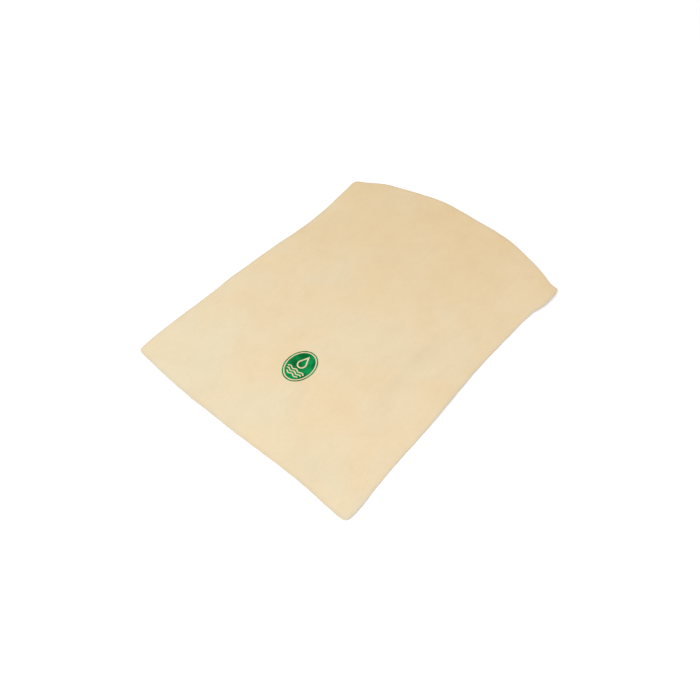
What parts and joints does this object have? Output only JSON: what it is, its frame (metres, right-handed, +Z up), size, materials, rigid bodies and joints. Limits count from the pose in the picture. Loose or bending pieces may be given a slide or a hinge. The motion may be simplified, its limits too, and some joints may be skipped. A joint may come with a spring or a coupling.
{
  "type": "chamois leather",
  "caption": "Soft sheet of oil-tanned chamois leather with a domed end and a green printed stamp, for drying and polishing glass and bodywork, lying flat.",
  "frame": {"origin": "on the surface that the sheet lies on, under the middle of the sheet's outline", "axes": "+Z up out of the printed side, +Y along the sheet towards its domed end, +X across it to the right"},
  "size_m": [0.4146, 0.5388, 0.0055],
  "materials": {
    "leather": "matt suede nap, pale buff, uncoated",
    "ink": "dry matt green printing ink, soaked a little into the nap"
  },
  "bodies": {
    "root": {"leather_sheet": "leather", "stamp_ring": "ink", "stamp_field": "ink", "stamp_drop": "ink"}
  },
  "joints": []
}
